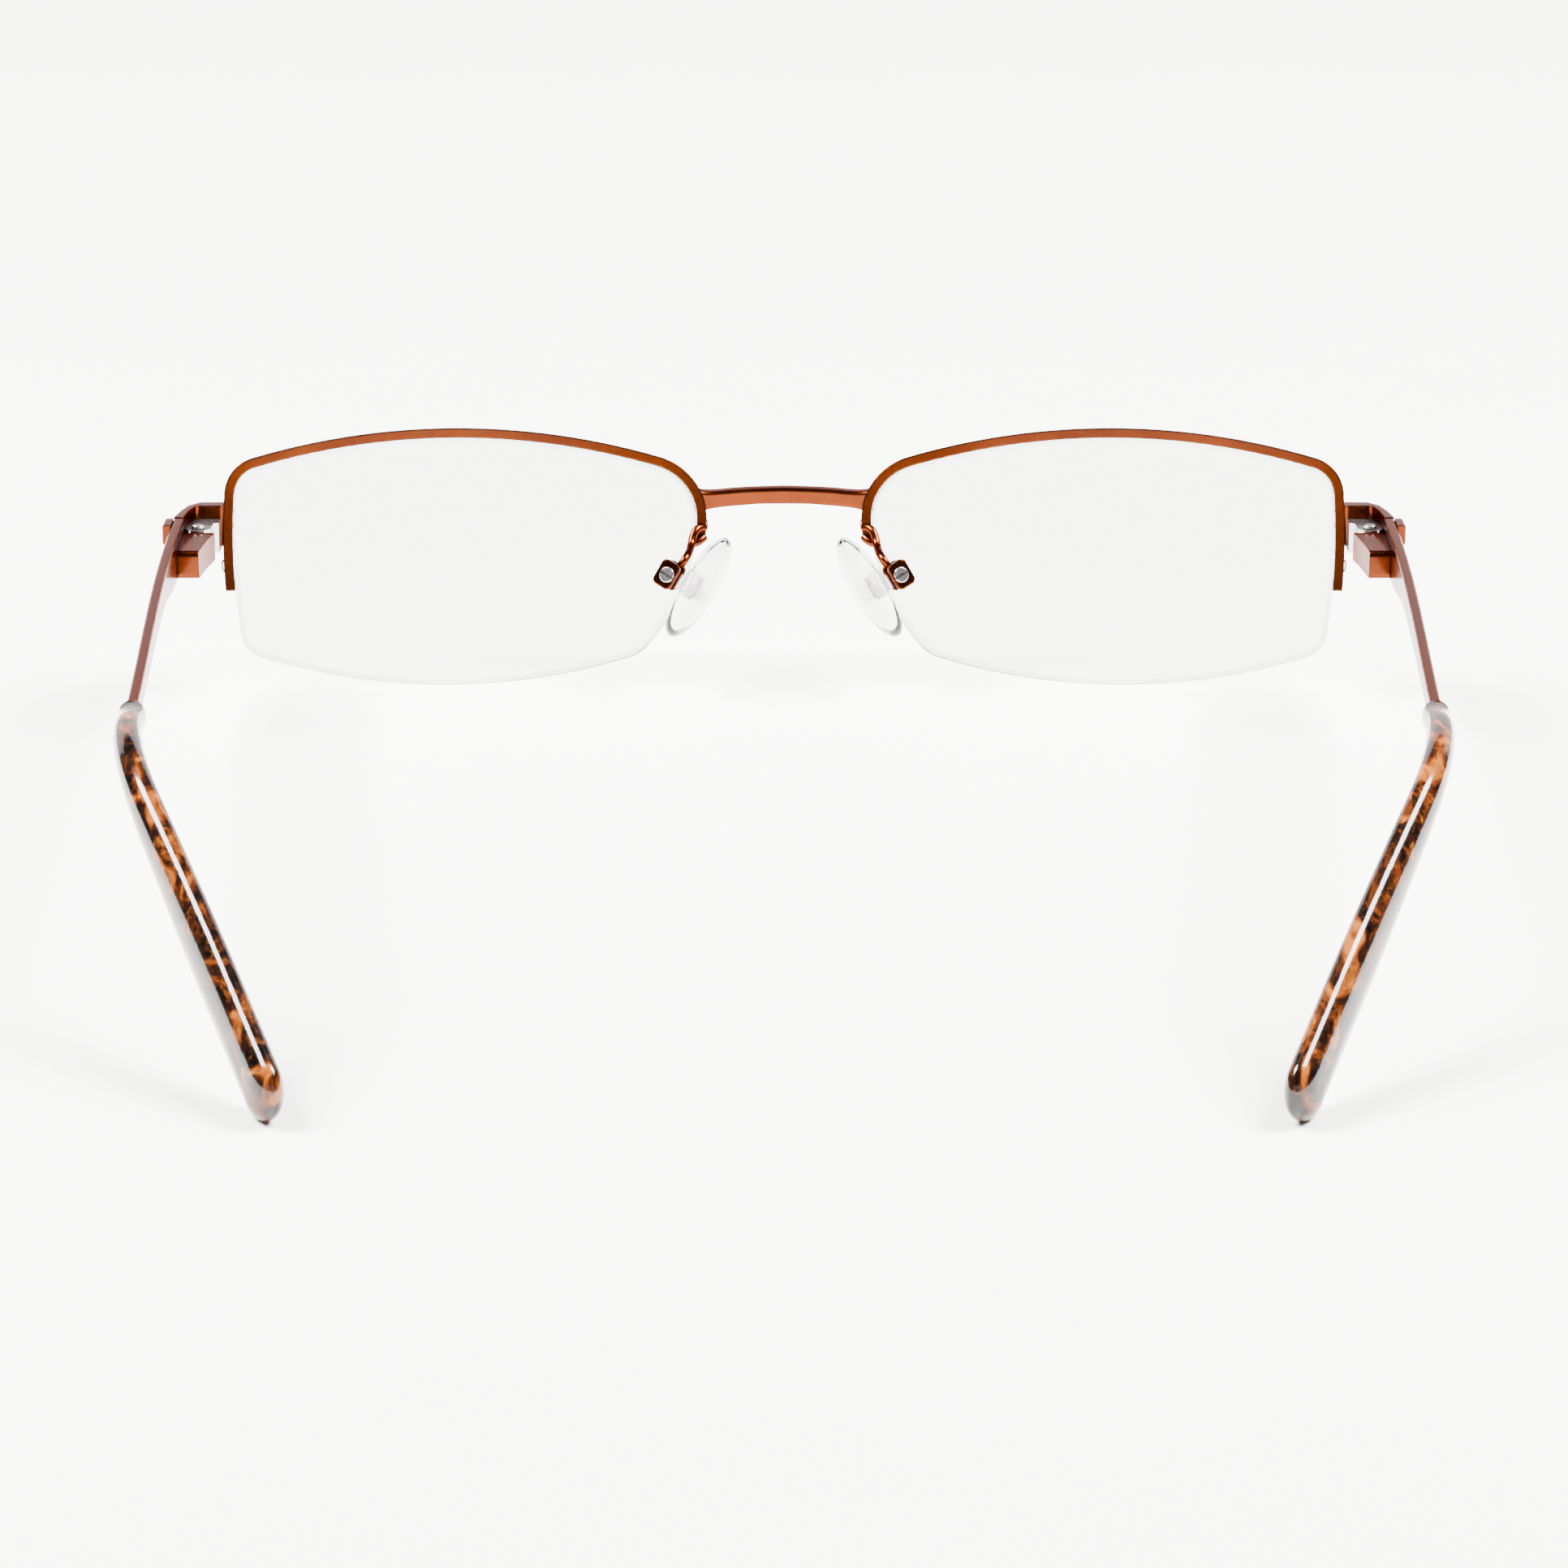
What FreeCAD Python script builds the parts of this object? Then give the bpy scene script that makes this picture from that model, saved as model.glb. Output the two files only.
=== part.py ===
import FreeCAD, Part
import math
import os
from FreeCAD import Vector

# Half rim eyeglasses, standing on the lens bottoms and the temple tips.
# Frame: +Z up, the front faces -Y, the wearer looks along -Y, the wearer's left is +X.
# The left half is modelled, and the right half is its mirror image. Millimetres.

# --- lens and rim, in the lens plane: U outwards from the nose, W up ---
LENS_ARCS = {
    "top": (36.5, -51.73, 79.0),
    "temple": (-8.87, 16.5, 70.0),
    "bottom": (37.3, 67.0, 67.0),
    "nose": (31.53, 18.5, 21.4),
}
CORNER_TOP_TEMPLE = 3.2
CORNER_BOTTOM_TEMPLE = 3.0
CORNER_BOTTOM_NOSE = 4.5
CORNER_TOP_NOSE = 6.0
BASE_RADIUS = 120.0
BASE_U = 36.0
BASE_W = 14.0
LENS_THICK = 2.0
LENS_WRAP = 6.0
LENS_LEAN = 12.0
WRAP_PIVOT_U = 9.3
BLOCK_FRONT = -4.0
BLOCK_DEEP = 16.0
RIM_WIDTH = 1.05
RIM_DEPTH = 1.9
RIM_NOSE_END_W = 16.2
RIM_TEMPLE_END_W = 10.6
GROOVE_DEPTH = 0.5
GROOVE_WIDTH = 0.55
LINER_RISE = 0.35
LINER_STOP = 0.6
CORD_NOSE_W = (17.1, 18.2)
CORD_TEMPLE_W = (12.8, 13.9)
CORD_WIDE = 0.5
CORD_RADIUS = 0.22
CORD_LIFT = 0.05
CORD_BEND = 0.3
PRESS_SLACK = 0.02
OVERCUT = 0.2

# --- bridge ---
BRIDGE_TALL = 1.8
BRIDGE_DEEP = 1.8
BRIDGE_END_TALL = 2.7
BRIDGE_END_X = 9.6
BRIDGE_Z = 20.25
BRIDGE_Y = -4.2
BRIDGE_FORWARD = 1.1
BRIDGE_DROP = 0.45
BRIDGE_ROUND = 0.35

# --- hinge, endpiece and temple ---
HINGE_X = 63.5
HINGE_Y = 8.3
HINGE_Z = 19.0
TEMPLE_RISE = 2.84
HINGE_DROP = 0.85
ENDPIECE_TALL = 4.5
ENDPIECE_THICK = 1.0
ENDPIECE_REAR = 1.1
ENDPIECE_ROUND = 0.45
BUTT_GAP = 0.42
KNUCKLE_RADIUS = 1.35
KNUCKLE_TALL = 3.3
FOOT_REACH = 1.9
EYE_RADIUS = 1.2
EYE_TALL = 1.3
EYE_CLEAR = 0.35
RUN_GAP = 0.05
BRAZE_GAP = 0.01
SCREW_RADIUS = 0.5
SCREW_HEAD_RADIUS = 0.72
SCREW_HEAD_TALL = 0.35
SCREW_SLOT = 0.25
SCREW_SLOT_DEEP = 0.16
SCREW_EDGE = 0.12

BLADE_START_X = 1.91
BLADE_THICK = 1.1
BLADE_BOW = 0.45
BOW_SCALE = 27.0 / 4.0
BLADE_ROUND = 0.3
BLADE_TOP = 2.2
BLADE_END_TOP = 1.0
BLADE_TALL = 3.55
BLADE_END_TALL = 2.0
HEAD_EXTRA_TALL = 1.4
HEAD_FADE = (12.0, 32.0)
BLADE_STEPS = 12
BEND = Vector(-3.78, 98.0, 0.0)
TIP_END = Vector(-18.8, 128.1, -22.33)
BEND_RADIUS = 22.7
SLEEVE_START = 83.0
CORE_RADIUS = 0.65
CORE_END = 8.0
SLEEVE_WIDE = 2.6
SLEEVE_TALL = 2.75
TIP_WIDE = 3.15
TIP_TALL = 6.1
SLEEVE_GROWTH = 44.0
SLEEVE_STEPS = 12

HOUSING_WIDE = 3.3
HOUSING_END_WIDE = 2.3
HOUSING_TALL = 3.0
HOUSING_TOP = 1.5
HOUSING_LENGTH = 10.1
HOUSING_WALL = 0.4
HOUSING_WAIST = 0.12
HOUSING_ROUND = 0.6
CHAMBER_SPARE = 0.3
SLIDER_WIDE = 1.3
SLIDER_BAR = 2.9
SLIDER_STROKE = 0.5
ROD_RADIUS = 0.3
ROD_LENGTH = 3.7
SPRING_RADIUS = 0.45
SPRING_WIRE = 0.1
SPRING_TURNS = 7
RETAINER_RADIUS = 0.6
RETAINER_THICK = 0.4
PLAQUE_LENGTH = 3.6
PLAQUE_TALL = 2.2
PLAQUE_THICK = 0.95
PLAQUE_ROUND = 0.3

# --- nose pad ---
PAD_BOX_AT = Vector(12.4, 4.0, 13.4)
PAD_NORMAL = Vector(-0.762, 0.457, -0.457)
PAD_LONG = Vector(-0.50, -0.10, 0.86)
PAD_HALF_LONG = 6.2
PAD_HALF_WIDE = 3.7
PAD_HALF_THICK = 1.7
PAD_OFFSET_OUT = 3.5
PAD_OFFSET_UP = 0.6
PAD_BOX_GAP = 1.1
PAD_BOX_WALL = 0.45
PAD_BOX_LONG = 3.0
PAD_BOX_OUT = 0.95
PAD_BOX_BACK = 1.3
PAD_BOX_ROUND = 0.55
PAD_BACK = 0.9
PAD_SCREW_RADIUS = 0.4
PAD_HEAD_RADIUS = 0.85
PAD_HEAD_TALL = 0.35
PAD_HEAD_EDGE = 0.1
PAD_SLOT_DEEP = 0.15
TAB_BACK = 0.6
TAB_THICK = 1.0
TAB_HALF_LONG = 0.85
INSERT_AT = 2.9
INSERT_THICK = 0.5
INSERT_HALF_WIDE = 0.95
INSERT_HALF_LONG = 1.15
PAD_ARM_RADIUS = 0.45
PAD_ARM_RISE = 1.1
PAD_ARM_BACK = 0.75
PAD_ARM_SIDE = 0.9
PAD_ARM_JOIN = Vector(10.2, -0.3, 15.9)

# Shift that puts the origin under the middle of the outline.
MIDDLE_SHIFT = -66.92

Z = Vector(0, 0, 1)


def circle_meet(first, second, corner):
    """Centre of a corner arc of the given radius that rolls inside both side arcs."""
    ax, ay, ar = first
    bx, by, br = second
    ra = ar - corner
    rb = br - corner
    dx = bx - ax
    dy = by - ay
    gap = math.hypot(dx, dy)
    along = (ra * ra - rb * rb + gap * gap) / (2 * gap)
    off = math.sqrt(ra * ra - along * along)
    mx = ax + along * dx / gap
    my = ay + along * dy / gap
    return [(mx + s * off * dy / gap, my - s * off * dx / gap) for s in (1, -1)]


def corner_centre(first, second, corner, near):
    found = circle_meet(first, second, corner)
    return min(found, key=lambda c: math.hypot(c[0] - near[0], c[1] - near[1]))


def touch(side, corner_at, grow):
    """Point where a corner arc leaves a side arc, with the outline grown outwards."""
    sx, sy, sr = side
    dx = corner_at[0] - sx
    dy = corner_at[1] - sy
    reach = math.hypot(dx, dy)
    return (sx + dx / reach * (sr + grow), sy + dy / reach * (sr + grow))


def flat(point):
    """A lens plane point (U, W) as a vector in the upright local plane."""
    return Vector(point[0], 0, point[1])


def arc_through(centre, radius, start, end):
    """The short arc round a centre between two points on it."""
    a0 = math.atan2(start[1] - centre[1], start[0] - centre[0])
    a1 = math.atan2(end[1] - centre[1], end[0] - centre[0])
    turn = (a1 - a0 + math.pi) % (2 * math.pi) - math.pi
    middle = a0 + turn / 2
    mid = (centre[0] + radius * math.cos(middle), centre[1] + radius * math.sin(middle))
    return Part.Arc(flat(start), flat(mid), flat(end)).toShape()


def lens_outline(grow):
    """Closed lens outline of four side arcs and four corner arcs, grown outwards."""
    top = LENS_ARCS["top"]
    temple = LENS_ARCS["temple"]
    bottom = LENS_ARCS["bottom"]
    nose = LENS_ARCS["nose"]
    corners = [
        (top, temple, CORNER_TOP_TEMPLE, (58.0, 24.0)),
        (temple, bottom, CORNER_BOTTOM_TEMPLE, (58.0, 6.0)),
        (bottom, nose, CORNER_BOTTOM_NOSE, (17.0, 6.0)),
        (nose, top, CORNER_TOP_NOSE, (14.0, 20.0)),
    ]
    spots = []
    for before, after, radius, near in corners:
        centre = corner_centre(before, after, radius, near)
        spots.append((centre, radius, touch(before, centre, grow), touch(after, centre, grow)))
    sides = [temple, bottom, nose, top]
    edges = []
    for i in range(4):
        centre, radius, start, end = spots[i]
        edges.append(arc_through(centre, radius + grow, start, end))
        side = sides[i]
        edges.append(arc_through(side[:2], side[2] + grow, end, spots[(i + 1) % 4][2]))
    return Part.Wire(Part.__sortEdges__(edges))


def through_block(grow):
    """The grown lens outline pushed through the depth of the front."""
    face = Part.Face(lens_outline(grow))
    face.translate(Vector(0, BLOCK_FRONT, 0))
    return face.extrude(Vector(0, BLOCK_DEEP, 0))


def shell(front, back):
    """Ball shell between two depths behind the front surface of the lens."""
    centre = Vector(BASE_U, BASE_RADIUS, BASE_W)
    outer = Part.makeSphere(BASE_RADIUS - front, centre)
    inner = Part.makeSphere(BASE_RADIUS - back, centre)
    return outer.cut(inner)


def ring(inside, outside, front, back):
    band = through_block(outside).cut(through_block(inside))
    return band.common(shell(front, back))


def below(nose_w, temple_w):
    """Block that covers everything under the two given heights."""
    nose_box = Part.makeBox(BASE_U, 40, nose_w + 40, Vector(0, -20, -40))
    temple_box = Part.makeBox(60, 40, temple_w + 40, Vector(BASE_U, -20, -40))
    return nose_box.fuse(temple_box)


def largest(shape):
    return max(shape.Solids, key=lambda s: s.Volume)


def mid_depth(width):
    return (LENS_THICK / 2 - width / 2, LENS_THICK / 2 + width / 2)


def surface_t(u, w, depth):
    """Depth coordinate of a lens plane point at a given depth in the lens."""
    radius = BASE_RADIUS - depth
    reach = (u - BASE_U) ** 2 + (w - BASE_W) ** 2
    return BASE_RADIUS - math.sqrt(radius * radius - reach)


def side_u(name, w, grow):
    """U of a side arc at a height."""
    cx, cy, radius = LENS_ARCS[name]
    reach = math.sqrt((radius + grow) ** 2 - (w - cy) ** 2)
    return cx - reach if name == "nose" else cx + reach


def cord_hole_list():
    """The four cord holes as (inner point, outer point), following the lens curve."""
    depth = LENS_THICK / 2
    holes = []
    for name, heights, sign in (("nose", CORD_NOSE_W, -1), ("temple", CORD_TEMPLE_W, 1)):
        for w in heights:
            u_in = side_u(name, w, -GROOVE_DEPTH / 2)
            u_out = side_u(name, w, RIM_WIDTH) + sign * CORD_LIFT
            inner = Vector(u_in, surface_t(u_in, w, depth), w)
            outer = Vector(u_out, surface_t(u_out, w, depth), w)
            holes.append((inner, outer))
    return holes


def rounded_path(points, bend):
    """Straight runs through the points, joined by tangent arcs."""
    edges = []
    start = points[0]
    for before, at, after in zip(points, points[1:], points[2:]):
        back = (before - at).normalize()
        ahead = (after - at).normalize()
        half = back.getAngle(ahead) / 2
        enter = at + back * (bend / math.tan(half))
        leave = at + ahead * (bend / math.tan(half))
        top = at + (back + ahead).normalize() * (bend / math.sin(half) - bend)
        edges.append(Part.makeLine(start, enter))
        edges.append(Part.Arc(enter, top, leave).toShape())
        start = leave
    edges.append(Part.makeLine(start, points[-1]))
    return Part.Wire(edges)


def cord_ends(radius):
    """Threaded cord ends: out through one hole, along the rim, and in through the next."""
    holes = cord_hole_list()
    tubes = []
    for first, second in ((holes[0], holes[1]), (holes[2], holes[3])):
        path = rounded_path([first[0], first[1], second[1], second[0]], CORD_BEND)
        section = Part.Wire(Part.makeCircle(radius, first[0], first[1] - first[0]))
        tubes.append(path.makePipeShell([section], True, True))
    return tubes


def lens_local():
    body = through_block(0).common(shell(0, LENS_THICK))
    front, back = mid_depth(GROOVE_WIDTH)
    groove = ring(-GROOVE_DEPTH, OVERCUT, front, back)
    return largest(body.cut(groove))


def rim_local():
    margin = (LENS_THICK - RIM_DEPTH) / 2
    body = ring(0, RIM_WIDTH, margin, LENS_THICK - margin)
    body = body.cut(below(RIM_NOSE_END_W, RIM_TEMPLE_END_W))
    front, back = mid_depth(GROOVE_WIDTH)
    channel = ring(-OVERCUT, GROOVE_DEPTH, front, back)
    channel = channel.cut(below(CORD_NOSE_W[1] + LINER_STOP, CORD_TEMPLE_W[1] + LINER_STOP))
    body = body.cut(channel).cut(cord_ends(CORD_RADIUS + PRESS_SLACK))
    return largest(body)


def liner_local():
    """Nylon strip pressed in the rim channel; its crown sits in the lens groove."""
    front, back = mid_depth(GROOVE_WIDTH)
    strip = ring(-LINER_RISE, GROOVE_DEPTH, front, back)
    return largest(strip.cut(below(CORD_NOSE_W[1] + LINER_STOP, CORD_TEMPLE_W[1] + LINER_STOP)))


def cord_local():
    """Nylon cord in the lens groove, with both ends threaded out and back in."""
    front, back = mid_depth(CORD_WIDE)
    loop = ring(-GROOVE_DEPTH, 0, front, back)
    loop = loop.common(below(CORD_NOSE_W[1] + CORD_WIDE / 2, CORD_TEMPLE_W[1] + CORD_WIDE / 2))
    return largest(loop.fuse(cord_ends(CORD_RADIUS)))


def seat_front(shape):
    """Wrap and lean a lens plane shape, and stand it on the table."""
    shape = shape.copy()
    shape.rotate(Vector(WRAP_PIVOT_U, 0, 0), Z, LENS_WRAP)
    shape.rotate(Vector(0, 0, 0), Vector(1, 0, 0), LENS_LEAN)
    shape.translate(front_shift())
    return shape


def seat_point(u, t, w):
    at = Part.Vertex(u, t, w)
    return seat_front(at).Point


def front_shift():
    """Move that puts the lowest lens edge on the table at Y = 0."""
    wrap = math.radians(LENS_WRAP)
    lean = math.radians(LENS_LEAN)
    cx, cy, radius = LENS_ARCS["bottom"]
    best = None
    for step in range(-60, 61):
        u = cx + step * 0.1
        w = cy - math.sqrt(radius * radius - (u - cx) ** 2)
        t = surface_t(u, w, 0)
        y = (u - WRAP_PIVOT_U) * math.sin(wrap) + t * math.cos(wrap)
        low = y * math.sin(lean) + w * math.cos(lean)
        if best is None or low < best[1]:
            best = (y * math.cos(lean) - w * math.sin(lean), low)
    return Vector(0, -best[0], -best[1])


def box_between(low, high):
    size = high - low
    return Part.makeBox(size.x, size.y, size.z, low)


def plan_solid(points, z0, z1):
    """Straight sided block from a plan outline."""
    wire = Part.makePolygon([Vector(x, y, z0) for x, y in points + points[:1]])
    return Part.Face(wire).extrude(Vector(0, 0, z1 - z0))


def soften(shape, edges, radius):
    return shape.makeFillet(radius, edges)


def upright_edges(shape, low=-1e9, high=1e9):
    """Edges that run along Z with their Y between two values."""
    found = []
    for edge in shape.Edges:
        box = edge.BoundBox
        if box.ZLength > 0.8 and box.XLength + box.YLength < 0.01:
            if low < box.Center.y < high:
                found.append(edge)
    return found


# --- the hinge frame: origin on the hinge axis, Y along the temple, Z along the axis ---

def seat_temple(shape):
    shape = shape.copy()
    shape.rotate(Vector(0, 0, 0), Vector(1, 0, 0), TEMPLE_RISE)
    shape.translate(Vector(HINGE_X, HINGE_Y, HINGE_Z))
    return shape


def seat_hinge(shape):
    """The hinge pieces sit a little below the middle of the temple."""
    shape = shape.copy()
    shape.translate(Vector(0, 0, -HINGE_DROP))
    return seat_temple(shape)


def bow(part):
    """Outward bow of the blade, fullest a third of the way along, where it equals BLADE_BOW."""
    return BLADE_BOW * BOW_SCALE * part * (1 - part) ** 2


def blade_x(y):
    """Middle of the blade in X at a distance along the temple."""
    slope = (BEND.x - BLADE_START_X) / (BEND.y - ENDPIECE_REAR)
    part = (y - ENDPIECE_REAR) / blade_leg()
    return BLADE_START_X + slope * (y - ENDPIECE_REAR) + bow(part)


def endpiece_local():
    """Angled piece: it leaves the rim, turns back, and ends at the temple's butt face."""
    half = ENDPIECE_TALL / 2
    outer_rear = blade_x(ENDPIECE_REAR) + BLADE_THICK / 2
    inner_rear = outer_rear - ENDPIECE_THICK
    outer = [(-2.3, -7.5), (0.5, -7.4), (1.6, -5.6), (2.15, -2.3), (outer_rear, ENDPIECE_REAR)]
    inner = [(inner_rear, ENDPIECE_REAR), (1.3, -2.3), (0.8, -5.3), (-2.3, -5.3)]
    body = plan_solid(outer + inner, -half, half)
    return soften(body, upright_edges(body, -7.45, -2.0), ENDPIECE_ROUND)


def front_hinge_local():
    """Two knuckles and their foot, brazed in the corner of the endpiece."""
    half = KNUCKLE_TALL / 2
    r = KNUCKLE_RADIUS
    outline = [(-FOOT_REACH, -5.4), (r, -5.4), (r, 0), (-r, 0), (-r, -2.6), (-FOOT_REACH, -3.0)]
    foot = plan_solid(outline, -half, half)
    barrel = Part.makeCylinder(KNUCKLE_RADIUS, KNUCKLE_TALL, Vector(0, 0, -half))
    body = foot.fuse(barrel).removeSplitter()
    slot_half = EYE_TALL / 2 + RUN_GAP
    slot = box_between(Vector(-9, -EYE_RADIUS - EYE_CLEAR, -slot_half), Vector(9, 9, slot_half))
    body = body.cut(slot)
    bore = Part.makeCylinder(SCREW_RADIUS + RUN_GAP, 2 * KNUCKLE_TALL, Vector(0, 0, -KNUCKLE_TALL))
    return body.cut(bore)


def hinge_screw_local():
    half = KNUCKLE_TALL / 2
    shank = Part.makeCylinder(SCREW_RADIUS, KNUCKLE_TALL + 0.1, Vector(0, 0, -half - 0.1))
    head_at = Vector(0, 0, half + RUN_GAP)
    neck = Part.makeCylinder(SCREW_RADIUS, RUN_GAP, Vector(0, 0, half))
    head = Part.makeCylinder(SCREW_HEAD_RADIUS, SCREW_HEAD_TALL, head_at)
    head = soften(head, [head.Edges[0]], SCREW_EDGE)
    top = half + RUN_GAP + SCREW_HEAD_TALL
    slot = Part.makeBox(4, SCREW_SLOT, 1, Vector(-2, -SCREW_SLOT / 2, top - SCREW_SLOT_DEEP))
    return shank.fuse([neck, head]).cut(slot).removeSplitter()


def bar_end_y():
    """Rear end of the slider's flat bar."""
    return KNUCKLE_RADIUS + RUN_GAP + SLIDER_BAR


def slider_local():
    """Eye on the screw, flat bar, and the rod that carries the spring."""
    half = EYE_TALL / 2
    eye = Part.makeCylinder(EYE_RADIUS, EYE_TALL, Vector(0, 0, -half))
    wide = SLIDER_WIDE / 2
    bar_end = bar_end_y()
    bar = box_between(Vector(-wide, 0, -half), Vector(wide, bar_end, half))
    rod = Part.makeCylinder(ROD_RADIUS, ROD_LENGTH, Vector(0, bar_end, 0), Vector(0, 1, 0))
    bore = Part.makeCylinder(SCREW_RADIUS + RUN_GAP, 2 * EYE_TALL, Vector(0, 0, -EYE_TALL))
    return eye.fuse([bar, rod]).cut(bore).removeSplitter()


def rod_end_y():
    return bar_end_y() + ROD_LENGTH


def retainer_local():
    """Washer pressed on the end of the slider rod; the spring pushes on it."""
    start = Vector(0, rod_end_y() - RETAINER_THICK, 0)
    disc = Part.makeCylinder(RETAINER_RADIUS, RETAINER_THICK, start, Vector(0, 1, 0))
    hole = Part.makeCylinder(ROD_RADIUS, RETAINER_THICK, start, Vector(0, 1, 0))
    return disc.cut(hole)


def shoulder_y():
    """Rear face of the housing's inner wall, which pushes on the spring."""
    return bar_end_y() + RUN_GAP + HOUSING_WALL


def spring_local():
    """Compressed spring on the rod; the stroke stays free between it and the wall."""
    start = shoulder_y() + SLIDER_STROKE + SPRING_WIRE
    end = rod_end_y() - RETAINER_THICK - SPRING_WIRE
    length = end - start
    helix = Part.makeHelix(length / SPRING_TURNS, length, SPRING_RADIUS)
    section = Part.Wire(Part.makeCircle(SPRING_WIRE, Vector(SPRING_RADIUS, 0, 0), Vector(0, 1, 0)))
    coil = Part.Wire(helix).makePipeShell([section], True, True)
    coil.rotate(Vector(0, 0, 0), Vector(1, 0, 0), -90)
    coil.translate(Vector(0, start, 0))
    return coil


def housing_front_y():
    return KNUCKLE_RADIUS + EYE_CLEAR


def housing_local():
    """Case brazed to the inner side of the blade; the slider runs in it."""
    front = housing_front_y()
    rear = front + HOUSING_LENGTH
    inside = blade_x(front) - BLADE_THICK / 2 - BRAZE_GAP
    rear_inside = blade_x(rear) - BLADE_THICK / 2 - BRAZE_GAP
    inner_front = Vector(inside - HOUSING_WIDE, front, 0)
    inner_rear = Vector(rear_inside - HOUSING_END_WIDE, rear, 0)
    waist = Vector((inner_front.x + inner_rear.x) / 2 + HOUSING_WAIST, (front + rear) / 2, 0)
    curve = Part.Arc(inner_rear, waist, inner_front).toShape()
    outer_front = Vector(inside, front, 0)
    outer_rear = Vector(rear_inside, rear, 0)
    sides = Part.makePolygon([inner_front, outer_front, outer_rear, inner_rear])
    outline = Part.Wire(Part.__sortEdges__(sides.Edges + [curve]))
    body = Part.Face(outline).extrude(Vector(0, 0, HOUSING_TALL))
    body.translate(Vector(0, 0, HOUSING_TOP - HOUSING_TALL))
    rear_edges = [e for e in body.Edges if e.BoundBox.YMin > rear - 0.01 and e.BoundBox.XLength > 1]
    body = soften(body, rear_edges, HOUSING_ROUND)
    tunnel_half = EYE_TALL / 2 + RUN_GAP
    tunnel_wide = SLIDER_WIDE / 2 + RUN_GAP
    wall = shoulder_y() - HOUSING_WALL
    tunnel = box_between(Vector(-tunnel_wide, 0, -tunnel_half), Vector(tunnel_wide, wall, tunnel_half))
    rod_hole = Part.makeCylinder(ROD_RADIUS + RUN_GAP, 2, Vector(0, wall - 0.5, 0), Vector(0, 1, 0))
    chamber_length = rod_end_y() + CHAMBER_SPARE - shoulder_y()
    chamber_at = Vector(0, shoulder_y(), 0)
    chamber = Part.makeCylinder(RETAINER_RADIUS + RUN_GAP, chamber_length, chamber_at, Vector(0, 1, 0))
    return body.cut(tunnel).cut(rod_hole).cut(chamber)


def rounded_section(centre, forward, wide, tall, corner):
    """Rounded rectangle square to a direction, with its tall side in the upright plane."""
    forward = Vector(forward).normalize()
    side = forward.cross(Z).normalize()
    up = side.cross(forward)
    a = wide / 2
    b = tall / 2
    r = min(corner, a * 0.98, b * 0.98)
    k = r * (1 - math.sqrt(0.5))

    def at(x, y):
        return centre + side * x + up * y

    edges = []
    quarter = [(1, 1), (-1, 1), (-1, -1), (1, -1)]
    for i, (sx, sy) in enumerate(quarter):
        along = at(sx * a, sy * (b - r))
        across = at(sx * (a - r), sy * b)
        mid = at(sx * (a - k), sy * (b - k))
        ends = (along, across) if i % 2 == 0 else (across, along)
        edges.append(Part.Arc(ends[0], mid, ends[1]).toShape())
    closed = []
    for i in range(4):
        closed.append(edges[i])
        last = edges[i].valueAt(edges[i].LastParameter)
        first = edges[(i + 1) % 4].valueAt(edges[(i + 1) % 4].FirstParameter)
        closed.append(Part.makeLine(last, first))
    return Part.Wire(closed)


def temple_legs():
    """Start, directions of the two straight legs, and the angle of the bend."""
    start = Vector(BLADE_START_X, ENDPIECE_REAR, 0)
    first = (BEND - start).normalize()
    second = (TIP_END - BEND).normalize()
    return start, first, second, first.getAngle(second)


def blade_leg():
    """Length of the blade leg up to the start of the bend."""
    start, first, second, turn = temple_legs()
    return (BEND - start).Length - BEND_RADIUS * math.tan(turn / 2)


def temple_path(distance):
    """Point and direction on the middle line: bowed blade leg, bend, and tip leg."""
    start, first, second, turn = temple_legs()
    leg = blade_leg()
    bend_length = BEND_RADIUS * turn
    if distance <= leg:
        part = distance / leg
        slope = BLADE_BOW * BOW_SCALE * (1 - part) * (1 - 3 * part) / leg
        along = (first + Vector(slope, 0, 0)).normalize()
        return start + first * distance + Vector(bow(part), 0, 0), along
    if distance >= leg + bend_length:
        spare = distance - leg - bend_length
        return BEND + second * (BEND_RADIUS * math.tan(turn / 2) + spare), second
    toward = (second - first * math.cos(turn)).normalize()
    angle = (distance - leg) / BEND_RADIUS
    centre = start + first * leg + toward * BEND_RADIUS
    point = centre - toward * (BEND_RADIUS * math.cos(angle)) + first * (BEND_RADIUS * math.sin(angle))
    return point, first * math.cos(angle) + toward * math.sin(angle)


def path_length():
    """Length of the middle line from the butt face to the middle of the tip's round end."""
    start, first, second, turn = temple_legs()
    past_bend = (TIP_END - BEND).Length - BEND_RADIUS * math.tan(turn / 2)
    return blade_leg() + BEND_RADIUS * turn + past_bend


def fade(value, low, high):
    """Smooth fall from 1 to 0 between two values."""
    part = min(1.0, max(0.0, (value - low) / (high - low)))
    return 1 - part * part * (3 - 2 * part)


def blade_section(distance):
    """Blade outline at a distance: straight top edge, and a deeper head at the hinge."""
    part = distance / SLEEVE_START
    tall = BLADE_TALL + (BLADE_END_TALL - BLADE_TALL) * part
    tall += HEAD_EXTRA_TALL * fade(distance, HEAD_FADE[0], HEAD_FADE[1])
    top = BLADE_TOP + (BLADE_END_TOP - BLADE_TOP) * part
    point, forward = temple_path(distance)
    middle = point + Vector(0, 0, top - tall / 2)
    return rounded_section(middle, forward, BLADE_THICK, tall, BLADE_ROUND)


def core_local(radius):
    """Core wire inside the sleeve, following the bend."""
    wires = []
    run = path_length() - CORE_END - SLEEVE_START
    for step in range(SLEEVE_STEPS + 1):
        point, forward = temple_path(SLEEVE_START + run * step / SLEEVE_STEPS)
        wires.append(Part.Wire(Part.makeCircle(radius, point, forward)))
    return Part.makeLoft(wires, True, False)


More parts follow.
